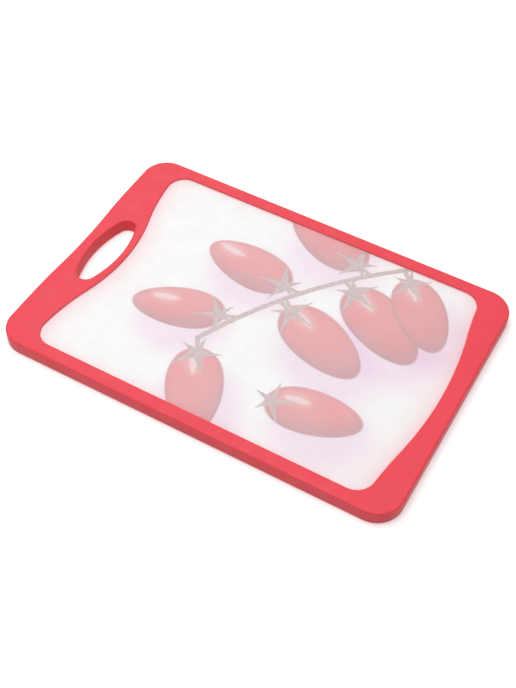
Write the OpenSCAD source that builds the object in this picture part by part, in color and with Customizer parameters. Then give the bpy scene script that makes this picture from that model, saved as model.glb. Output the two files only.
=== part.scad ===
// Cutting mat with a soft-grip rim. A thick milky core plate carries a printed sheet and a thin
// frosted cover plate, and a soft rim is moulded round them, with a handle opening through one end.
// The mat lies flat on z = 0, centred on the origin, with its handle end towards -X.
// Its two faces have the same shape, so either one can be cut on. The print is near the upper one.

/* [Board] */
// Length of the whole mat, along X
board_length = 360; // [350:1:380]
// Width of the whole mat, along Y
board_width = 250; // [240:1:270]
// Thickness over the rim
board_thickness = 13.5; // [12:0.5:16]
// Radius of the four outer corners in plan
corner_radius = 23; // [19:1:27]
// Radius that rounds the rim's outer edges, above and below
edge_round = 1.8; // [1:0.1:3]
// How far the handle end is drawn in at its middle
waist_depth = 2.3; // [1.5:0.1:2.8]
// Distance from the middle of that waist to where it ends
waist_reach = 72; // [60:1:80]

/* [Window] */
// Width of the rim along the two long sides
side_rim = 12.2; // [10.8:0.1:14]
// Width of the rim at the handle end, beside the window's corners
handle_end_rim = 29.3; // [28:0.1:30.5]
// How far the handle end swells into the window at its middle
handle_swell = 16.9; // [15:0.1:17.5]
// Distance from the middle of that swell to where its curve would run straight
handle_swell_reach = 109; // [105:1:112]
// Radius of the swell at its middle
handle_swell_radius = 160; // [140:1:180]
// Width of the rim at the far end, beside the window's corners
far_end_rim = 29.7; // [28:0.1:31]
// How far the far end is hollowed out at its middle
far_hollow = 14.3; // [11:0.1:15]
// Distance from the middle of that hollow to where its curve would run straight
far_hollow_reach = 146; // [138:1:154]
// Radius of the hollow at its middle
far_hollow_radius = 337; // [300:1:380]
// Radius of the window's four corners
window_corner_radius = 16; // [13:1:18]
// Radius that rounds the lip round the window
window_lip_round = 0.4; // [0.2:0.1:0.5]

/* [Handle opening] */
// Distance from the handle end to the middle of the opening
handle_inset = 26.1; // [25.6:0.1:26.6]
// Length of the opening, along Y
handle_length = 78; // [72:1:84]
// Width of the opening, along X
handle_width = 27; // [25:0.5:28]
// Radius of the opening's two tips
handle_tip_radius = 8; // [7:0.5:9.5]
// Radius that rounds the lip round the opening
handle_lip_round = 1.8; // [1:0.1:2.4]

/* [Core, print and cover] */
// How far the cutting face lies below the rim's face, above and below
panel_recess = 0.6; // [0.6:0.1:1.5]
// Thickness of the cover plate over the print
cover_thickness = 1.2; // [0.8:0.1:1.8]
// Thickness of the printed sheet
sheet_thickness = 0.3; // [0.2:0.1:0.5]
// How far the rim's lip reaches over the cover plate and the printed sheet
lip_reach = 1; // [0.5:0.1:1.5]
// How far the core steps down from the printed sheet to its tongue, which the rim grips
shoulder = 0.8; // [0.5:0.1:1.5]
// Width of soft rim outside the tongue, at the outer edge and round the handle opening
rim_skin = 2.5; // [1.8:0.1:2.5]

/* [Locks] */
// Diameter of the holes in the tongue that the rim's plastic fills along the long sides
side_lock_diameter = 4; // [3:0.5:4.5]
// Number of those holes along each long side
side_lock_count = 9; // [5:1:11]
// Distance from each one to the next
side_lock_pitch = 32; // [24:1:32]
// Diameter of the same holes at the two ends
end_lock_diameter = 6; // [4:0.5:7]
// Distance from the far end to its row of holes
far_lock_inset = 9.5; // [8:0.5:10]
// Number of holes in the far end's row
far_lock_count = 5; // [3:1:5]
// Distance from each hole in that row to the next
far_lock_pitch = 40; // [30:1:44]
// Distance from the handle end to its holes
handle_lock_inset = 15; // [12:0.5:18]
// Distance of the holes by the handle opening from the mat's middle line
handle_lock_near = 60; // [56:1:66]
// Distance of the outer holes at the handle end from the mat's middle line
handle_lock_far = 95; // [86:1:98]

/* [Hidden] */

half_length = board_length / 2;
half_width = board_width / 2;
panel_top = board_thickness - panel_recess;
cover_bottom = panel_top - cover_thickness;
core_top = cover_bottom - sheet_thickness;
tongue_top = core_top - shoulder;
tongue_bottom = board_thickness - tongue_top;
window_half_width = half_width - side_rim;
corner_y = half_width - corner_radius;
window_corner_y = window_half_width - window_corner_radius;

// Greatest gap between a curve and the straight chords that follow it
chord_gap = 0.05;
// Chords that follow each rounded edge
round_steps = 4;
// Sides of each lock hole
lock_sides = 32;
// How far a cutting shape runs past the solid that it cuts
past = 1;
// Points closer than this are one point
same_point = 0.001;

rim_red = [0.91, 0.31, 0.36];
frosted_white = [0.97, 0.97, 0.97, 0.6];
milky_white = [0.96, 0.96, 0.95];
faded_pink = [0.95, 0.74, 0.75];

// An outline is a list of arcs, taken anticlockwise and joined by straight lines where they don't
// meet. An arc is [centre, radius, start angle, end angle, bend], where bend is 1 if its centre is
// inside the outline and -1 if it is outside. Grow moves the whole outline outwards, square to itself.
function arc_steps(arc) = max(1, ceil(abs(arc[3] - arc[2]) / (2 * acos(1 - chord_gap / arc[1]))));

function arc_points(arc, grow) = [
    for (i = [0:arc_steps(arc)])
        let (angle = arc[2] + (arc[3] - arc[2]) * i / arc_steps(arc))
            arc[0] + (arc[1] + arc[4] * grow) * [cos(angle), sin(angle)]
];

function without_repeats(points) = [
    for (i = [0:len(points) - 1])
        if (norm(points[i] - points[(i + 1) % len(points)]) > same_point) points[i]
];

function outline(arcs, grow = 0) = without_repeats([for (arc = arcs) each arc_points(arc, grow)]);

// A wave in an end edge has three arcs: one round its middle, and one on each side that leads back
// to the straight. Its arcs meet smoothly, which settles the radius of the outer two.
function outer_radius(reach, depth, radius) = (reach * reach + depth * depth) / (2 * depth) - radius;

// Where an outer arc runs into a corner of the outline, lean is the angle at which they meet, and
// apart is the distance between their centres.
function lean(reach, corner, apart) = reach > corner ? asin((reach - corner) / apart) : 0;

// The end towards -X, from its upper corner to its lower one. Its middle waves towards +X by depth.
function left_end(x, reach, depth, radius, corner, corner_r) =
    let (
        outer = outer_radius(reach, depth, radius),
        swing = asin(reach / (radius + outer)),
        tilt = lean(reach, corner, outer - corner_r),
        corner_x = x + outer - (outer - corner_r) * cos(tilt)
    )
    [
        [[corner_x, corner], corner_r, 90, 180 + tilt, 1],
        [[x + outer, reach], outer, 180 + tilt, 180 + swing, 1],
        [[x + depth - radius, 0], radius, swing, -swing, -1],
        [[x + outer, -reach], outer, 180 - swing, 180 - tilt, 1],
        [[corner_x, -corner], corner_r, 180 - tilt, 270, 1]
    ];

// The end towards +X, from its lower corner to its upper one. Its middle waves towards +X by depth.
function right_end(x, reach, depth, radius, corner, corner_r) =
    let (
        outer = outer_radius(reach, depth, radius),
        swing = asin(reach / (radius + outer)),
        tilt = lean(reach, corner, outer + corner_r),
        corner_x = x + outer - (outer + corner_r) * cos(tilt)
    )
    [
        [[corner_x, -corner], corner_r, -90, -tilt, 1],
        [[x + outer, -reach], outer, 180 - tilt, 180 - swing, -1],
        [[x + depth - radius, 0], radius, -swing, swing, 1],
        [[x + outer, reach], outer, 180 + swing, 180 + tilt, -1],
        [[corner_x, corner], corner_r, tilt, 90, 1]
    ];

// The waist's arcs share one radius, so the curve turns over halfway along each side.
waist_radius = outer_radius(waist_reach, waist_depth, 0) / 2;

board_outline = concat(
    [for (side = [-1, 1])
        let (corner = [half_length - corner_radius, side * corner_y])
            [corner, corner_radius, min(side, 0) * 90, max(side, 0) * 90, 1]],
    left_end(-half_length, waist_reach, waist_depth, waist_radius, corner_y, corner_radius)
);

window_outline = concat(
    right_end(half_length - far_end_rim, far_hollow_reach, far_hollow, far_hollow_radius,
        window_corner_y, window_corner_radius),
    left_end(handle_end_rim - half_length, handle_swell_reach, handle_swell, handle_swell_radius,
        window_corner_y, window_corner_radius)
);

// The handle opening is an oval of four arcs: two long sides and two tips, which meet smoothly.
handle_x = handle_inset - half_length;
tip_y = handle_length / 2 - handle_tip_radius;
side_radius = (pow(handle_width / 2, 2) + pow(tip_y, 2) - pow(handle_tip_radius, 2))
    / (handle_width - 2 * handle_tip_radius);
side_centre = side_radius - handle_width / 2;
side_swing = atan2(tip_y, side_centre);

handle_outline = [
    [[handle_x - side_centre, 0], side_radius, -side_swing, side_swing, 1],
    [[handle_x, tip_y], handle_tip_radius, side_swing, 180 - side_swing, 1],
    [[handle_x + side_centre, 0], side_radius, 180 - side_swing, 180 + side_swing, 1],
    [[handle_x, -tip_y], handle_tip_radius, 180 + side_swing, 360 - side_swing, 1]
];

// Heights of a rounded edge, from the flat face up to where the wall stands straight. Each is
// [height above the face, how far the edge has drawn back there].
function round_levels(round) = [
    for (i = [0:round_steps])
        let (angle = 90 * i / round_steps)
            [round * (1 - cos(angle)), round * (1 - sin(angle))]
];

// The same heights taken up from the lower face and then on to the upper one. Way is -1 where the
// edge draws back into a solid's outline, and 1 where it opens out from a hole's.
function both_faces(round, way) =
    let (levels = round_levels(round))
    concat(
        [for (level = levels) [level[0], way * level[1]]],
        [for (i = [len(levels) - 1:-1:0]) [board_thickness - levels[i][0], way * levels[i][1]]]
    );

function through_levels(round) =
    concat([[-past, round]], both_faces(round, 1), [[board_thickness + past, round]]);

// A solid skinned over one outline drawn at several levels, each of them [z, grow].
module skinned(arcs, levels) {
    flat_rings = [for (level = levels) outline(arcs, level[1])];
    count = len(flat_rings[0]);
    top = count * (len(levels) - 1);
    points = [
        for (i = [0:len(levels) - 1])
            for (point = flat_rings[i]) [point[0], point[1], levels[i][0]]
    ];
    walls = [
        for (ring = [0:len(levels) - 2])
            for (i = [0:count - 1])
                let (here = ring * count + i, next = ring * count + (i + 1) % count)
                    [here, here + count, next + count, next]
    ];
    lower_face = [for (i = [0:count - 1]) i];
    upper_face = [for (i = [count - 1:-1:0]) top + i];
    polyhedron(points, concat([lower_face], walls, [upper_face]));
}

// A flat slice of one outline between two heights.
module slice(arcs, grow, bottom, top) {
    translate([0, 0, bottom])
        linear_extrude(top - bottom)
            polygon(outline(arcs, grow));
}

// Places along a row of count holes that is centred on 0.
function row(count, pitch) = [for (i = [0:count - 1]) (i - (count - 1) / 2) * pitch];

// The holes through the tongue that the rim's plastic fills, which lock its two faces together.
module lock_posts() {
    side_lock_y = (window_half_width + half_width - rim_skin) / 2;
    for (side = [-1, 1]) {
        for (x = row(side_lock_count, side_lock_pitch))
            lock_post(x, side * side_lock_y, side_lock_diameter);
        for (y = [handle_lock_near, handle_lock_far])
            lock_post(handle_lock_inset - half_length, side * y, end_lock_diameter);
    }
    for (y = row(far_lock_count, far_lock_pitch))
        lock_post(half_length - far_lock_inset, y, end_lock_diameter);
}

module lock_post(x, y, diameter) {
    translate([x, y, tongue_bottom - past])
        cylinder(h = tongue_top - tongue_bottom + 2 * past, d = diameter, $fn = lock_sides);
}

// The part of the core that runs on under the rim, midway between its two faces.
module tongue() {
    difference() {
        slice(board_outline, -rim_skin, tongue_bottom, tongue_top);
        slice(handle_outline, rim_skin, tongue_bottom - past, tongue_top + past);
        lock_posts();
    }
}

// A layer of the panel whose edge lies under the rim's lip.
module layer(bottom, top) {
    slice(window_outline, lip_reach, bottom, top);
}

module soft_rim() {
    color(rim_red)
        difference() {
            skinned(board_outline, both_faces(edge_round, -1));
            skinned(window_outline, through_levels(window_lip_round));
            skinned(handle_outline, through_levels(handle_lip_round));
            layer(core_top, panel_top);
            tongue();
        }
}

module cover_plate() {
    color(frosted_white)
        layer(cover_bottom, panel_top);
}

module printed_sheet() {
    color(faded_pink)
        layer(core_top, cover_bottom);
}

module core_plate() {
    color(milky_white)
        union() {
            tongue();
            slice(window_outline, 0, panel_recess, core_top);
        }
}

soft_rim();
cover_plate();
printed_sheet();
core_plate();
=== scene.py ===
# %% [markdown]
# A flexible cutting mat: a thick milky core, a printed film on it, a thin frosted cover over the
# film, and a matte red rim of soft-grip plastic moulded round them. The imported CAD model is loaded
# first and stays as it is. Everything below is placed in its frame, in metres: +X runs along the
# mat, away from the handle end, +Z is up, and the mat lies on z = 0.

# %% Load the frame
import math

import bmesh
import bpy
import numpy as np
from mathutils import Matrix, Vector, geometry


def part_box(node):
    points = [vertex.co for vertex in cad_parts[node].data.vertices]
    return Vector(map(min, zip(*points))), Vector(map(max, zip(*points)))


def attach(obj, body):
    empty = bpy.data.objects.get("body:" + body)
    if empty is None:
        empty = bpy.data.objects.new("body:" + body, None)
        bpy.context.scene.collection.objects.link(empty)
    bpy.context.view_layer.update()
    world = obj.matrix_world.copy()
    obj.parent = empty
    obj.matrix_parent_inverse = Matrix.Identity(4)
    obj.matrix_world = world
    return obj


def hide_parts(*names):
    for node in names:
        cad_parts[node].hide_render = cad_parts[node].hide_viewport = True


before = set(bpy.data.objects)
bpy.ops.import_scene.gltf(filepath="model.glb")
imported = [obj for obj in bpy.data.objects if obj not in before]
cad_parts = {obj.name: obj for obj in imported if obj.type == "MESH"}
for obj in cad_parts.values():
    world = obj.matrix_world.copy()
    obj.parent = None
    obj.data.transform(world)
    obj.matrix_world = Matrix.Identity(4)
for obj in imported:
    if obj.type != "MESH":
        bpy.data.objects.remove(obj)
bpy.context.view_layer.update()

mm = 0.001
(low_x, low_y, low_z), (high_x, high_y, high_z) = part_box("soft_rim")
length = high_x - low_x
width = high_y - low_y
thickness = high_z - low_z
print(f"mat {length / mm:.1f} x {width / mm:.1f} x {thickness / mm:.1f} mm")

# %% [markdown]
# The camera comes first, because every look is judged through it. Its place, its turn and its lens
# were solved from the mat's own outline: a rounded rectangle of known sides seen in perspective
# fixes all three. It stands about a metre away, looks down steeply, and is rolled by one degree.
# The lens is a plain 61 mm, with no shift and no depth of field, so other views can reuse it.

# %% Camera
camera_place = (295.3 * mm, -552.3 * mm, 746.8 * mm)
camera_turn = (39.131, -0.989, 29.457)
camera_lens = 60.6

camera_data = bpy.data.cameras.new("camera")
camera_data.lens = camera_lens
camera = bpy.data.objects.new("camera", camera_data)
camera.location = camera_place
camera.rotation_euler = [math.radians(angle) for angle in camera_turn]
bpy.context.scene.collection.objects.link(camera)
bpy.context.scene.camera = camera
print(f"camera {math.dist(camera_place, (0, 0, 0)):.3f} m from the mat's middle")

# %% [markdown]
# The mat is all outline: a board edge, a window and a handle opening, each made of arcs that meet
# smoothly or are joined by straight lines. A modeller could draw them by hand with curves, but the
# CAD source already has the few sizes that settle them, so the same arcs are worked out here. Each
# traced point keeps the direction that faces outwards there. Moving the points along it gives the
# rings of a rounded edge, all with the same number of points, which is what a clean mesh needs.

# %% Arcs and outlines
chord_gap = 0.01 * mm
point_spacing = 4 * mm


def arc_directions(radius, start, end):
    """The directions from an arc's centre to the points that follow it closely enough."""
    by_gap = abs(end - start) / (2 * math.acos(1 - chord_gap / radius))
    by_spacing = abs(end - start) * radius / point_spacing
    steps = max(1, math.ceil(max(by_gap, by_spacing)))
    angles = np.linspace(start, end, steps + 1)
    return np.stack([np.cos(angles), np.sin(angles)], axis=1)


def traced(arcs):
    """The points along an outline, and the outward direction at each of them."""
    points, outward = [], []
    for centre, radius, start, end, bend in arcs:
        for direction in arc_directions(radius, start, end):
            points.append(np.array(centre) + radius * direction)
            outward.append(bend * direction)
    filled_points, filled_outward = [], []
    for i, point in enumerate(points):
        following = (i + 1) % len(points)
        gap = np.linalg.norm(points[following] - point)
        if gap < chord_gap:
            continue
        steps = max(1, round(gap / point_spacing))
        for step in range(steps):
            part = step / steps
            filled_points.append(point + part * (points[following] - point))
            filled_outward.append(outward[i] + part * (outward[following] - outward[i]))
    return np.array(filled_points), np.array(filled_outward)


def grown(trace, distance):
    """A traced outline moved outwards, square to itself."""
    points, outward = trace
    return points + distance * outward


# %% [markdown]
# Each end of the window, and the handle end of the board, is a wave: one arc round the middle and
# one on each side that leads back to the straight. Three arcs that meet smoothly are settled by
# the wave's reach, its depth and its middle radius, so those are the only sizes given.

# %% Waves at the ends
def outer_radius(reach, depth, radius):
    """The radius of a wave's two outer arcs, which meet its middle one smoothly."""
    return (reach ** 2 + depth ** 2) / (2 * depth) - radius


def lean(reach, corner, apart):
    """The angle at which an outer arc runs into a corner, with their centres so far apart."""
    return math.asin((reach - corner) / apart) if reach > corner else 0


def left_end(x, reach, depth, radius, corner, corner_radius):
    """The arcs of an end towards -X, from its upper corner to its lower one."""
    outer = outer_radius(reach, depth, radius)
    swing = math.asin(reach / (radius + outer))
    tilt = lean(reach, corner, outer - corner_radius)
    corner_x = x + outer - (outer - corner_radius) * math.cos(tilt)
    half_turn = math.pi
    quarter = math.pi / 2
    return [
        ((corner_x, corner), corner_radius, quarter, half_turn + tilt, 1),
        ((x + outer, reach), outer, half_turn + tilt, half_turn + swing, 1),
        ((x + depth - radius, 0), radius, swing, -swing, -1),
        ((x + outer, -reach), outer, half_turn - swing, half_turn - tilt, 1),
        ((corner_x, -corner), corner_radius, half_turn - tilt, half_turn + quarter, 1),
    ]


def right_end(x, reach, depth, radius, corner, corner_radius):
    """The arcs of an end towards +X, from its lower corner to its upper one."""
    outer = outer_radius(reach, depth, radius)
    swing = math.asin(reach / (radius + outer))
    tilt = lean(reach, corner, outer + corner_radius)
    corner_x = x + outer - (outer + corner_radius) * math.cos(tilt)
    half_turn = math.pi
    quarter = math.pi / 2
    return [
        ((corner_x, -corner), corner_radius, -quarter, -tilt, 1),
        ((x + outer, -reach), outer, half_turn - tilt, half_turn - swing, -1),
        ((x + depth - radius, 0), radius, -swing, swing, 1),
        ((x + outer, reach), outer, half_turn + swing, half_turn + tilt, -1),
        ((corner_x, corner), corner_radius, tilt, quarter, 1),
    ]


# %% [markdown]
# The board's edge: a rectangle with round corners whose handle end is drawn in a little, so that
# the mat sits well in the hand.

# %% Board outline
corner_radius = 23 * mm
waist_depth = 2.3 * mm
waist_reach = 72 * mm

corner_y = width / 2 - corner_radius
waist_radius = outer_radius(waist_reach, waist_depth, 0) / 2
board_arcs = [
    ((high_x - corner_radius, -corner_y), corner_radius, -math.pi / 2, 0, 1),
    ((high_x - corner_radius, corner_y), corner_radius, 0, math.pi / 2, 1),
]
board_arcs += left_end(low_x, waist_reach, waist_depth, waist_radius, corner_y, corner_radius)
board = traced(board_arcs)
print(f"board edge of {len(board[0])} points")

# %% [markdown]
# The window: straight along the two long sides, swelling in round the handle opening and hollowed
# out at the far end.

# %% Window outline
side_rim = 12.2 * mm
window_corner = 16 * mm
window_corner_y = width / 2 - side_rim - window_corner
handle_end_rim, handle_swell = 29.3 * mm, 16.9 * mm
handle_swell_reach, handle_swell_radius = 109 * mm, 160 * mm
far_end_rim, far_hollow = 29.7 * mm, 14.3 * mm
far_hollow_reach, far_hollow_radius = 146 * mm, 337 * mm

far_wave = (high_x - far_end_rim, far_hollow_reach, far_hollow, far_hollow_radius)
near_wave = (low_x + handle_end_rim, handle_swell_reach, handle_swell, handle_swell_radius)
window_arcs = right_end(*far_wave, window_corner_y, window_corner)
window_arcs += left_end(*near_wave, window_corner_y, window_corner)
window = traced(window_arcs)
print(f"window edge of {len(window[0])} points")

# %% [markdown]
# The handle opening is an oval of four arcs, two long sides and two tips.

# %% Handle outline
handle_inset = 26.1 * mm
handle_length = 78 * mm
handle_width = 27 * mm
handle_tip = 8 * mm

handle_x = low_x + handle_inset
tip_y = handle_length / 2 - handle_tip
side_radius = (handle_width ** 2 / 4 + tip_y ** 2 - handle_tip ** 2) / (handle_width - 2 * handle_tip)
side_centre = side_radius - handle_width / 2
side_swing = math.atan2(tip_y, side_centre)
handle = traced([
    ((handle_x - side_centre, 0), side_radius, -side_swing, side_swing, 1),
    ((handle_x, tip_y), handle_tip, side_swing, math.pi - side_swing, 1),
    ((handle_x + side_centre, 0), side_radius, math.pi - side_swing, math.pi + side_swing, 1),
    ((handle_x, -tip_y), handle_tip, math.pi + side_swing, 2 * math.pi - side_swing, 1),
])
print(f"handle edge of {len(handle[0])} points")

# %% [markdown]
# Every piece here is a moulding: walls that follow an outline at several heights, and flat faces
# above and below. Boolean cuts and bevel modifiers could make them, but they leave long thin
# triangles that shade badly. So the walls are laid ring by ring, and a flat face is filled with
# even triangles, by a constrained Delaunay fill between its edge and a grid of points inside. The
# parts are welded at the end, and only angles sharper than the smooth limit are kept sharp.

# %% The moulding helper
weld_distance = 0.001 * mm
grid_spacing = 7 * mm
grid_clearance = 0.6 * grid_spacing
fill_tolerance = 1e-9
smooth_limit = math.radians(35)


def inside(loop, points):
    """Which of the points lie inside a closed loop, by counting the edges to their right."""
    x, y = points[:, :1], points[:, 1:]
    start, end = loop, np.roll(loop, -1, axis=0)
    crosses = (start[:, 1] > y) != (end[:, 1] > y)
    rise = np.where(end[:, 1] == start[:, 1], 1, end[:, 1] - start[:, 1])
    at_x = start[:, 0] + (y - start[:, 1]) * (end[:, 0] - start[:, 0]) / rise
    return (crosses & (x < at_x)).sum(axis=1) % 2 == 1


def grid_inside(loops):
    """A staggered grid of points that keeps clear of every loop."""
    outer = loops[0]
    rows = np.arange(outer[:, 1].min(), outer[:, 1].max(), grid_spacing * math.sqrt(3) / 2)
    columns = np.arange(outer[:, 0].min(), outer[:, 0].max(), grid_spacing)
    stagger = grid_spacing / 2
    points = np.array([(x + (i % 2) * stagger, y) for i, y in enumerate(rows) for x in columns])
    edge = np.concatenate(loops)
    nearest = np.linalg.norm(points[:, None] - edge[None], axis=2).min(axis=1)
    kept = (nearest > grid_clearance) & in_region(loops, points)
    return points[kept]


def in_region(loops, points):
    """Which of the points lie inside the first loop and outside the others."""
    outside_holes = [~inside(hole, points) for hole in loops[1:]]
    return np.logical_and.reduce([inside(loops[0], points), *outside_holes])


class Moulding:
    """A closed mesh under construction."""

    def __init__(self):
        self.mesh = bmesh.new()

    def wall(self, trace, levels):
        """Quads round an outline, through levels of (height, growth)."""
        rings = []
        for height, growth in levels:
            rings.append([self.mesh.verts.new((x, y, height)) for x, y in grown(trace, growth)])
        count = len(rings[0])
        for lower, upper in zip(rings, rings[1:]):
            for i in range(count):
                after = (i + 1) % count
                self.mesh.faces.new((lower[i], lower[after], upper[after], upper[i]))

    def flat(self, loops, height):
        """A flat face inside the first loop and outside the others."""
        points = np.concatenate([*loops, grid_inside(loops)])
        edges, start = [], 0
        for loop in loops:
            count = len(loop)
            edges += [(start + i, start + (i + 1) % count) for i in range(count)]
            start += count
        flat_points = [tuple(point) for point in points]
        corners, _, triangles, *_ = geometry.delaunay_2d_cdt(flat_points, edges, [], 0, fill_tolerance)
        middles = np.array([np.mean([corners[i] for i in triangle], axis=0) for triangle in triangles])
        kept = in_region(loops, middles)
        verts = [self.mesh.verts.new((x, y, height)) for x, y in corners]
        for triangle in np.array(triangles)[kept]:
            self.mesh.faces.new([verts[i] for i in triangle])

    def piece(self, name):
        """Welds the parts, turns the faces outwards and gives the object."""
        bmesh.ops.remove_doubles(self.mesh, verts=self.mesh.verts, dist=weld_distance)
        loose = [v for v in self.mesh.verts if not v.link_faces]
        bmesh.ops.delete(self.mesh, geom=loose, context="VERTS")
        bmesh.ops.recalc_face_normals(self.mesh, faces=self.mesh.faces)
        open_edges = sum(not edge.is_manifold for edge in self.mesh.edges)
        mesh = bpy.data.meshes.new(name)
        self.mesh.to_mesh(mesh)
        self.mesh.free()
        mesh.shade_smooth()
        mesh.set_sharp_from_angle(angle=smooth_limit)
        made = bpy.data.objects.new(name, mesh)
        bpy.context.scene.collection.objects.link(made)
        print(f"{name}: {len(mesh.vertices)} points, {len(mesh.polygons)} faces, {open_edges} open edges")
        return made


# %% [markdown]
# The soft rim is one injection moulding of thermoplastic rubber. Its edges are rounded, its walls
# lean in a little from the mid-height, where the two halves of the mould meet, and that meeting
# leaves a hair-fine line round it. Close to each rounded edge, and to that line, the flat has one
# more ring of points, which keeps it from shading as if it were curved.

# %% Levels of a rounded wall
round_steps = 10
draft = 0.12 * mm
line_depth = 0.03 * mm
line_half_width = 0.06 * mm
hold = 0.35 * mm


def rounding(radius):
    """Heights above the face of a rounded edge, with how far the edge draws back at each."""
    angles = np.linspace(0, math.pi / 2, round_steps + 1)
    return [(radius * (1 - math.cos(a)), radius * (1 - math.sin(a))) for a in angles]


def rim_levels(radius, way, parting_line):
    """Levels from the lower face to the upper one. Way is -1 on an outer wall, 1 in a hole."""
    middle = thickness / 2
    lower = [(0, way * (radius + draft + hold))]
    lower += [(height, way * (back + draft)) for height, back in rounding(radius)]
    if parting_line:
        lean_per_metre = draft / (middle - radius)
        for height in (radius + hold, middle - line_half_width - hold, middle - line_half_width):
            lower.append((height, way * lean_per_metre * (middle - height)))
        lower.append((middle, way * line_depth))
    upper = [(thickness - height, growth) for height, growth in reversed(lower) if height < middle]
    return lower + upper


# %% Soft rim
edge_round = 1.8 * mm
window_lip_round = 0.4 * mm
handle_lip_round = 1.8 * mm

rim = Moulding()
rim_walls = [
    (board, rim_levels(edge_round, -1, True)),
    (window, rim_levels(window_lip_round, 1, False)),
    (handle, rim_levels(handle_lip_round, 1, True)),
]
for trace, levels in rim_walls:
    rim.wall(trace, levels)
for height, end in ((0, 0), (thickness, -1)):
    rim.flat([grown(trace, levels[end][1]) for trace, levels in rim_walls], height)
rim = rim.piece("rim")
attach(rim, "root")
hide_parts("soft_rim")

# %% [markdown]
# Three pieces fill the window. A thick core of milky plastic is the body of the mat and its lower
# cutting face. A film with the print lies on the core, and a thin frosted cover over the film is
# the upper cutting face, so the print shows through it from close below. One box with a texture
# would look much the same from straight above, but at a slant the real print lies deeper than the
# face, so the three are made as they are. They are closed slabs, a hair smaller than the window,
# as a moulded rim leaves a fine seam there. Between its two faces the core is a little wider and
# laps into the rim, so the seam has a floor. Slivers of air keep the slabs' faces from lying in
# each other, which a ray tracer could not sort out.

# %% Core, film and cover
seam = 0.18 * mm
lap = 0.5 * mm
ledge = 0.8 * mm
air = 0.05 * mm
face_round = 0.3 * mm
film_low, film_high = (corner.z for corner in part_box("printed_sheet"))
cover_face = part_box("cover_plate")[1].z
core_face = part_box("core_plate")[0].z


def to_face(inner, face):
    """Levels from an inner height to a cutting face with a slightly broken edge."""
    way = 1 if face > inner else -1
    levels = [(inner, -seam)]
    levels += [(face - way * height, -seam - back) for height, back in reversed(rounding(face_round))]
    levels.append((face, -seam - face_round - hold))
    return levels


def core_levels(top, face):
    """Levels of the core, which laps into the rim above the ledge by its cutting face."""
    return [(top, lap), (face + ledge, lap)] + to_face(face + ledge, face)


def slab(name, node, levels):
    """A closed piece that fills the window between its first level and its last."""
    made = Moulding()
    made.wall(window, levels)
    for height, growth in (levels[0], levels[-1]):
        made.flat([grown(window, growth)], height)
    made = made.piece(name)
    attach(made, "root")
    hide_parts(node)
    return made


cover = slab("cover", "cover_plate", to_face(film_high + air, cover_face))
film = slab("printed_film", "printed_sheet", [(film_low, -seam), (film_high, -seam)])
core = slab("core", "core_plate", core_levels(film_low - air, core_face))

# %% [markdown]
# Materials are written as sums. A Wire wraps one output socket, and the usual operators add the
# Math or Vector Math node that does the sum. Any other node comes from one method, which sets what
# the node does first and then its sockets.

# %% A socket that can stand in a sum
class Wire:
    """A node's output that can stand in a Python sum."""

    def __init__(self, shader, socket):
        self.shader = shader
        self.socket = socket

    def _sum(self, operation, first, second):
        vectors = any(isinstance(term, Wire) and term.socket.type == "VECTOR" for term in (first, second))
        kind = "ShaderNodeVectorMath" if vectors else "ShaderNodeMath"
        return self.shader.node(kind, {"operation": operation}, {0: first, 1: second})

    def __add__(self, other):
        return self._sum("ADD", self, other)

    def __radd__(self, other):
        return self._sum("ADD", other, self)

    def __sub__(self, other):
        return self._sum("SUBTRACT", self, other)

    def __rsub__(self, other):
        return self._sum("SUBTRACT", other, self)

    def __mul__(self, other):
        return self._sum("MULTIPLY", self, other)

    def __rmul__(self, other):
        return self._sum("MULTIPLY", other, self)

    def __truediv__(self, other):
        return self._sum("DIVIDE", self, other)

    def __rtruediv__(self, other):
        return self._sum("DIVIDE", other, self)

    def __pow__(self, other):
        return self._sum("POWER", self, other)

    def __rpow__(self, other):
        return self._sum("POWER", other, self)

    def __abs__(self):
        return self.shader.node("ShaderNodeMath", {"operation": "ABSOLUTE"}, {0: self})

    def at_least(self, other):
        return self._sum("MAXIMUM", self, other)

    def at_most(self, other):
        return self._sum("MINIMUM", self, other)

    def dot(self, direction):
        """How far a place lies along a direction."""
        sockets = {0: self, 1: direction}
        return self.shader.node("ShaderNodeVectorMath", {"operation": "DOT_PRODUCT"}, sockets, "Value")

    def size(self):
        """The length of a vector."""
        return self.shader.node("ShaderNodeVectorMath", {"operation": "LENGTH"}, {0: self}, "Value")

    def ramp(self, start, end, low=0.0, high=1.0):
        """Runs smoothly from low at start to high at end, and stays level outside them."""
        if end < start:
            start, end, low, high = end, start, high, low
        sockets = {0: self, 1: start, 2: end, 3: low, 4: high}
        return self.shader.node("ShaderNodeMapRange", {"interpolation_type": "SMOOTHSTEP"}, sockets)


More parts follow.
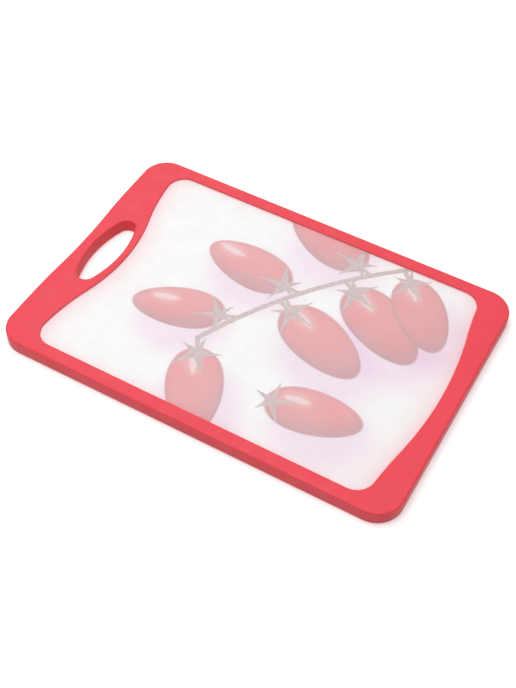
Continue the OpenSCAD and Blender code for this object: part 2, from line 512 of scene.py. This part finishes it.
# %% The nodes of one finish
class Shader:
    """The nodes of a material, or of the world."""

    def __init__(self, owner, ending="ShaderNodeOutputMaterial"):
        owner.use_nodes = True
        self.owner = owner
        self.tree = owner.node_tree
        self.tree.nodes.clear()
        self.ending = ending

    def node(self, kind, settings, sockets, output=0):
        made = self.tree.nodes.new(kind)
        for name, value in settings.items():
            setattr(made, name, value)
        for name, value in sockets.items():
            socket = made.inputs[name]
            if isinstance(value, Wire):
                self.tree.links.new(value.socket, socket)
            elif socket.type == "VECTOR" and isinstance(value, (int, float)):
                socket.default_value = (value, value, value)
            elif socket.type == "RGBA":
                socket.default_value = (*value, 1)
            else:
                socket.default_value = value
        return Wire(self, made.outputs[output])

    def place(self):
        """Where a point of the surface is, in metres from the mat's origin."""
        return self.node("ShaderNodeTexCoord", {}, {}, "Object")

    def mix(self, share, first, second, way="MIX"):
        """A colour that goes from first to second as share goes from 0 to 1."""
        settings = {"data_type": "RGBA", "blend_type": way}
        return self.node("ShaderNodeMix", settings, {0: share, 6: first, 7: second}, 2)

    def noise(self, grain, detail=2.0, roughness=0.5):
        """Even noise between 0 and 1 with lumps about one grain across."""
        sockets = {"Vector": self.place(), "Scale": 1 / grain, "Detail": detail, "Roughness": roughness}
        return self.node("ShaderNodeTexNoise", {}, sockets)

    def bump(self, height, distance):
        return self.node("ShaderNodeBump", {}, {"Height": height, "Distance": distance}, "Normal")

    def principled(self, sockets):
        """Ends the nodes in a Principled surface."""
        self.end(self.node("ShaderNodeBsdfPrincipled", {}, sockets))

    def end(self, surface):
        made = self.tree.nodes.new(self.ending)
        self.tree.links.new(surface.socket, made.inputs["Surface"])
        print(f"{self.owner.name}: {len(self.tree.nodes)} nodes")


def linear(red, green, blue):
    """A colour as a paint program gives it, 0 to 255, turned into the light that Cycles counts."""
    shares = (red / 255, green / 255, blue / 255)
    return tuple(c / 12.92 if c <= 0.04045 else ((c + 0.055) / 1.055) ** 2.4 for c in shares)


# %% [markdown]
# The rim's plastic is a soft-touch rubber, coloured right through. It is matte, and its mould was
# spark-eroded, so under a lens its skin is a fine even pebble that scatters the light. Hands polish
# it a little where they hold it, which only the roughness shows.

# %% Rim material
rim_red = linear(237, 64, 77)
rim_red_deep = linear(231, 58, 71)
rim_roughness = (0.5, 0.62)
pebble_grain = 0.45 * mm
pebble_height = 0.03 * mm

soft = Shader(bpy.data.materials.new("soft_grip_red"))
soft.principled({
    "Base Color": soft.mix(soft.noise(30 * mm, detail=3), rim_red, rim_red_deep),
    "Roughness": soft.noise(12 * mm, detail=4).ramp(0.25, 0.75, *rim_roughness),
    "Normal": soft.bump(soft.noise(pebble_grain, detail=1), pebble_height),
    "IOR": 1.48,
    "Sheen Weight": 0.1,
    "Sheen Roughness": 0.5,
})
rim.data.materials.append(soft.owner)

# %% [markdown]
# Light that wanders sideways in the milky core meets the red plastic round its tongue and comes
# back pink, so the panel glows pink along the rim: for a few millimetres beside the narrow long sides,
# and further beside the two broad ends, where more of the core lies in red. A scattering volume
# would do this by itself, but slowly and with noise. Here the glow is painted into the base colour:
# the distance to each edge of the window is worked out from its arcs, and the painted glow falls away with
# it.

# %% Painted pink glow along the rim
# Painted pink glow of scattered rim light: its colour, how far it reaches and how strong it is beside the
# sides and the ends.
painted_rim_glow_colour = linear(255, 206, 213)
side_rim_glow_reach = 4 * mm
end_rim_glow_reach = 8 * mm
side_rim_glow_share = 0.4
end_rim_glow_share = 0.55
window_half_width = width / 2 - side_rim
turn_blend = 0.1 * mm


def end_line(across, x, reach, depth, radius):
    """How far along the mat a wavy end of the window lies, at a distance from the middle line."""
    outer = outer_radius(reach, depth, radius)
    turn = radius * reach / (radius + outer)
    crest = x + depth - radius + (radius ** 2 - across * across).at_least(0) ** 0.5
    flank = x + outer - (outer ** 2 - (reach - across) * (reach - across)).at_least(0) ** 0.5
    on_flank = across.ramp(turn - turn_blend, turn + turn_blend)
    return crest * (1 - on_flank) + flank * on_flank


def painted_rim_glow(shader):
    """How much painted pink glow of scattered rim light the panel gets, from 0 to about 1 in a corner."""
    along = shader.place().dot((1, 0, 0))
    across = abs(shader.place().dot((0, 1, 0)))
    from_side = window_half_width - across
    from_far_end = end_line(across, *far_wave) - along
    from_near_end = along - end_line(across, *near_wave)
    by_side = math.e ** (from_side / -side_rim_glow_reach)
    by_ends = math.e ** (from_far_end / -end_rim_glow_reach) + math.e ** (from_near_end / -end_rim_glow_reach)
    return by_side * side_rim_glow_share + by_ends * end_rim_glow_share


# %% [markdown]
# The cover is frosted polypropylene: most light goes through, and each of its faces scatters its
# share as a milky colour. So it is made as a see-through surface rather than as a cloudy volume.
# The texture that keeps food from sliding is a fine stipple. The core is of the same plastic with
# more white in it, so it isn't see-through, and the print hardly shows on the underside.

# %% Cover and core materials
milk = linear(254, 254, 254)
milk_thin = linear(252, 252, 252)
face_roughness = (0.38, 0.5)
cover_share = (0.19, 0.23)
stipple_grain = 0.7 * mm
stipple_height = 0.015 * mm


def milky(name):
    """The sockets that the cover and the core share."""
    made = Shader(bpy.data.materials.new(name))
    cloudy = made.mix(made.noise(45 * mm, detail=3), milk, milk_thin)
    sockets = {
        # Base colour: the milky tone, with the pink glow of scattered rim light painted over it near the rim.
        "Base Color": made.mix(painted_rim_glow(made), cloudy, painted_rim_glow_colour),
        "Roughness": made.noise(8 * mm, detail=3).ramp(0.25, 0.75, *face_roughness),
        "Normal": made.bump(made.noise(stipple_grain, detail=2), stipple_height),
        "IOR": 1.49,
    }
    return made, sockets


frost, sockets = milky("frosted_cover")
frost.principled({**sockets, "Alpha": frost.noise(25 * mm, detail=3).ramp(0.2, 0.8, *cover_share)})
cover.data.materials.append(frost.owner)

opal, sockets = milky("milky_core")
opal.principled(sockets)
core.data.materials.append(opal.owner)

# %% [markdown]
# The print is a faded kitchen photograph, and any will do: here a truss of plum tomatoes on white.
# It is drawn in layers, each laid over the colour under it, with shapes that are measured in
# millimetres on the film. A stamp gives a motif its own coordinates, in which its edge is at 1.
# The film is printed in soft dots, so every edge is blurred by a little under a millimetre.

# %% Ink and the stamp
paper = linear(254, 254, 254)
paper_warm = linear(252, 251, 250)
ink_lit = linear(232, 100, 108)
ink_shade = linear(196, 92, 108)
ink_deep = linear(158, 80, 98)
ink_stalk = linear(206, 178, 174)
ink_stalk_shade = linear(184, 150, 150)
ink_shadow = linear(249, 228, 244)
film_roughness = (0.35, 0.45)
print_blur = 0.8 * mm

ink = Shader(bpy.data.materials.new("printed_film"))
ink_grain = ink.noise(3 * mm, detail=4)
ink_cloud = ink.noise(18 * mm, detail=2)


def stamp(x, y, turn, size, squash=1.0):
    """Coordinates that are 1 at the edge of a motif, laid at x and y and turned."""
    sockets = {
        "Vector": ink.place(),
        "Location": (x * mm, y * mm, 0),
        "Rotation": (0, 0, math.radians(turn)),
        "Scale": (size * mm, size * squash * mm, 1),
    }
    flat = ink.node("ShaderNodeMapping", {"vector_type": "TEXTURE"}, sockets)
    return flat * (1, 1, 0)


# %% [markdown]
# A plum tomato is an oval shaded as an egg, a little slimmer towards its tip: its height over the
# film gives the light side and the dark side. Its gleam lies where the egg faces halfway between
# the light and the viewer, and that place is worked out beforehand. It throws a soft lilac shadow.

# %% Plum tomatoes
slimness = 0.54
tip_slimmer = 0.16
sun = np.array([-0.52, 0.6, 0.6])
shadow_shift = (0.3, -0.36)
shadow_slimness = 0.8
blotchiness = 0.3
edge_share = 0.25
glow_share = 0.24
gleam_share = 0.42
gleam_slimmer = 2.2


def turned(direction, turn):
    """A direction on the film as a motif turned by so many degrees sees it."""
    x, y, z = direction
    angle = math.radians(turn)
    return np.array([math.cos(angle) * x + math.sin(angle) * y, math.cos(angle) * y - math.sin(angle) * x, z])


def shadow(under, x, y, turn, size):
    """Lays a fruit's soft shadow over the colour under it."""
    shift_x, shift_y = shadow_shift
    away = stamp(x + size * shift_x, y + size * shift_y, turn, size, shadow_slimness).size()
    return ink.mix(away.ramp(1.4, 0.6), under, ink_shadow, "MULTIPLY")


def tomato(under, x, y, turn, size):
    """Lays a fruit over the colour under it, with its tip towards turn."""
    local = stamp(x, y, turn, size, slimness)
    along = local.dot((1, 0, 0))
    across = local.dot((0, 1, 0)) * (1 + along * tip_slimmer)
    away = (along * along + across * across) ** 0.5
    height = (1 - away * away).at_least(0) ** 0.5
    to_sun = turned(sun, turn)
    light = along * float(slimness * to_sun[0]) + across * float(to_sun[1]) + height * float(to_sun[2])
    skin = ink.mix((light + (ink_cloud - 0.5) * blotchiness).ramp(-0.3, 0.7), ink_shade, ink_lit)
    skin = ink.mix(away.ramp(0.82, 1.0, 0, edge_share), skin, ink_deep)
    halfway = turned(sun + (0, 0, 1), turn) * (1, slimness, slimness)
    gleam = halfway / np.linalg.norm(halfway)
    from_gleam = local - (float(gleam[0]), float(gleam[1]), 0)
    skin = ink.mix(from_gleam.size().ramp(0.5, 0.1, 0, glow_share), skin, paper)
    narrow = (from_gleam * (1, gleam_slimmer, 0)).size() + (ink_grain - 0.5) * blotchiness
    skin = ink.mix(narrow.ramp(0.36, 0.22, 0, gleam_share), skin, paper)
    edge = print_blur / (size * slimness * mm)
    return ink.mix(away.ramp(1 + edge, 1 - edge), under, skin)


# %% [markdown]
# A stalk is a stick with round ends: the distance to a line between two places, less its half
# width. A sepal is a stick that runs to a point. The vine is a smooth curve through four handles,
# drawn as a row of short sticks, and fruit stalks that taper towards their fruit grow out of it.

# %% Stalks and sepals
sepal_reaches = (1.0, 0.85, 0.7, 0.65, 0.95)
sepal_turn = 12
sepal_apart = 360 / len(sepal_reaches)
sepal_half_width = 0.15
sepal_tip = 0.15


def stick(start, end, half_width, tip=1.0):
    """1 on a line from start to end, whose half width is multiplied by tip on the way."""
    run = (end[0] - start[0], end[1] - start[1])
    reach = math.hypot(*run)
    local = stamp(*start, math.degrees(math.atan2(run[1], run[0])), 1)
    along = local.dot((1, 0, 0))
    across = local.dot((0, 1, 0))
    past = along - along.at_least(0).at_most(reach)
    away = (past * past + across * across) ** 0.5
    narrowed = along.ramp(0, reach, half_width, half_width * tip)
    softness = print_blur / mm
    return (away - narrowed).ramp(softness / 2, -softness / 2)


def laid(under, mask):
    """Lays green plant over the colour under it, with the tone of its own grain."""
    return ink.mix(mask, under, ink.mix(ink_grain.ramp(0.35, 0.65), ink_stalk, ink_stalk_shade))


def beyond(place, turn, reach):
    """The place that lies so far from another in a direction."""
    angle = math.radians(turn)
    return (place[0] + reach * math.cos(angle), place[1] + reach * math.sin(angle))


def calyx(under, crown, turn, reach):
    """Five sepals that spread from the end of a fruit stalk, laid over the colour under them."""
    leaves = None
    for i, stretch in enumerate(sepal_reaches):
        tip = beyond(crown, turn + sepal_turn + sepal_apart * i, reach * stretch)
        leaf = stick(crown, tip, reach * sepal_half_width, sepal_tip)
        leaves = leaf if leaves is None else leaves.at_least(leaf)
    return laid(under, leaves)


# %% The picture
vine_handles = np.array([(96, 122), (58, 92), (6, 44), (-34, -44)])
vine_sticks = 9
vine_half_width = 2.4
stalk_reach = 15
stalk_half_width = 2.2
stalk_taper = 0.6
stalk_past = 1.1
crown_dip = 0.9
calyx_dip = 0.88
calyx_reach = 0.55


def along_vine(part):
    """The place on the vine at a part of its run from 0 to 1."""
    rest = 1 - part
    shares = np.array([rest ** 3, 3 * rest ** 2 * part, 3 * rest * part ** 2, part ** 3])
    return tuple(float(value) for value in shares @ vine_handles)


# Where on the vine each fruit stalk starts, which way it hangs, and the fruit's half length
fruits = [
    (0.30, 158, 44),
    (0.12, -50, 41),
    (0.62, 172, 42),
    (0.42, -32, 46),
    (0.86, 196, 40),
    (0.70, -24, 45),
    (1.00, -62, 43),
]
loose_fruit = (84, -64, 10, 40)

hung = []
for part, turn, size in fruits:
    crown = beyond(along_vine(part), turn, stalk_reach)
    hung.append((*beyond(crown, turn, size * crown_dip), turn, size))
hung.append(loose_fruit)

picture = ink.mix(ink_cloud.ramp(0.3, 0.7), paper, paper_warm)
for fruit in hung:
    picture = shadow(picture, *fruit)
for fruit in reversed(hung):
    picture = tomato(picture, *fruit)
    x, y, turn, size = fruit
    picture = calyx(picture, beyond((x, y), turn, -size * calyx_dip), turn, size * calyx_reach)
green = None
stops = [along_vine(i / vine_sticks) for i in range(vine_sticks + 1)]
for start, end in zip(stops, stops[1:]):
    run = stick(start, end, vine_half_width)
    green = run if green is None else green.at_least(run)
for part, turn, size in fruits:
    joint = along_vine(part)
    tip = beyond(joint, turn, stalk_reach * stalk_past)
    green = green.at_least(stick(joint, tip, stalk_half_width, stalk_taper))
picture = laid(picture, green)
ink.principled({
    # Base colour: the print, with the pink glow of scattered rim light painted over it near the rim.
    "Base Color": ink.mix(painted_rim_glow(ink), picture, painted_rim_glow_colour, "MULTIPLY"),
    "Roughness": ink_grain.ramp(0.3, 0.7, *film_roughness),
    "IOR": 1.45,
})
film.data.materials.append(ink.owner)

# %% [markdown]
# The mat lies on a plain white floor in soft daylight. A real table top is never quite as white as
# the page of a shop's picture, so what the camera, a gloss or a clear plastic sees of the floor is
# lifted a little, and the light that falls on the mat isn't. The shadow stays on the floor. Well
# away from the mat the lamp fades, so there the floor is seen as plain white, like the sky. It lies
# a hair under the mat, so that the two don't share a face.

# %% Floor
floor_half = 4.0
floor_height = -0.02 * mm
corner_ways = ((-1, -1), (1, -1), (1, 1), (-1, 1))
floor_corners = [(x * floor_half, y * floor_half, floor_height) for x, y in corner_ways]
floor_mesh = bpy.data.meshes.new("floor")
floor_mesh.from_pydata(floor_corners, [], [(0, 1, 2, 3)])
floor = bpy.data.objects.new("floor", floor_mesh)
bpy.context.scene.collection.objects.link(floor)


def seen_plainly(shader):
    """1 for rays from the camera, off a gloss or through clear plastic, and 0 for the rest."""
    kinds = ("Is Camera Ray", "Is Glossy Ray", "Is Transmission Ray")
    camera_ray, glossy_ray, clear_ray = [shader.node("ShaderNodeLightPath", {}, {}, kind) for kind in kinds]
    return camera_ray.at_least(glossy_ray).at_least(clear_ray)


# %% Floor material
floor_white = (0.84, 0.84, 0.84)
floor_lift = 0.34
plain_from, plain_beyond = 0.35, 0.9

white = Shader(bpy.data.materials.new("white_floor"))
paint = white.node("ShaderNodeBsdfDiffuse", {}, {"Color": floor_white})
lift = white.node("ShaderNodeEmission", {}, {"Strength": seen_plainly(white) * floor_lift})
near = white.node("ShaderNodeAddShader", {}, {0: paint, 1: lift})
far = white.node("ShaderNodeEmission", {}, {"Strength": 1})
far_share = white.place().size().ramp(plain_from, plain_beyond) * seen_plainly(white)
white.end(white.node("ShaderNodeMixShader", {}, {0: far_share, 1: near, 2: far}))
floor_mesh.materials.append(white.owner)

# %% [markdown]
# The light is that of an overcast room: an even sky, one big soft lamp overhead, and a weak one
# that stands behind the handle end as a window would. The weak one gives the rim a faint gloss that
# fades along the mat. Together they bring about as much light to the mat's face as makes a colour
# render the way it is written.

# %% Sky
sky_level = 0.3

world = bpy.data.worlds.new("studio")
bpy.context.scene.world = world
sky = Shader(world, "ShaderNodeOutputWorld")
dim = sky.node("ShaderNodeBackground", {}, {"Color": (1, 1, 1), "Strength": sky_level})
plain = sky.node("ShaderNodeBackground", {}, {"Color": (1, 1, 1), "Strength": 1})
sky.end(sky.node("ShaderNodeMixShader", {}, {0: seen_plainly(sky), 1: dim, 2: plain}))

# %% Lamps
def soft_lamp(name, power, size, place):
    """A round area lamp that faces the mat's middle."""
    data = bpy.data.lights.new(name, "AREA")
    data.shape = "DISK"
    data.size = size
    data.energy = power
    lamp = bpy.data.objects.new(name, data)
    lamp.location = place
    lamp.rotation_euler = Vector(place).to_track_quat("Z", "Y").to_euler()
    bpy.context.scene.collection.objects.link(lamp)
    print(f"{name} {math.dist(place, (0, 0, 0)):.2f} m from the mat's middle")


soft_lamp("overhead_lamp", power=37, size=1.8, place=(-0.3, -0.15, 2.3))
soft_lamp("window_light", power=12, size=1.6, place=(-1.3, 1.8, 2.0))
bpy.context.scene.view_settings.view_transform = "Standard"
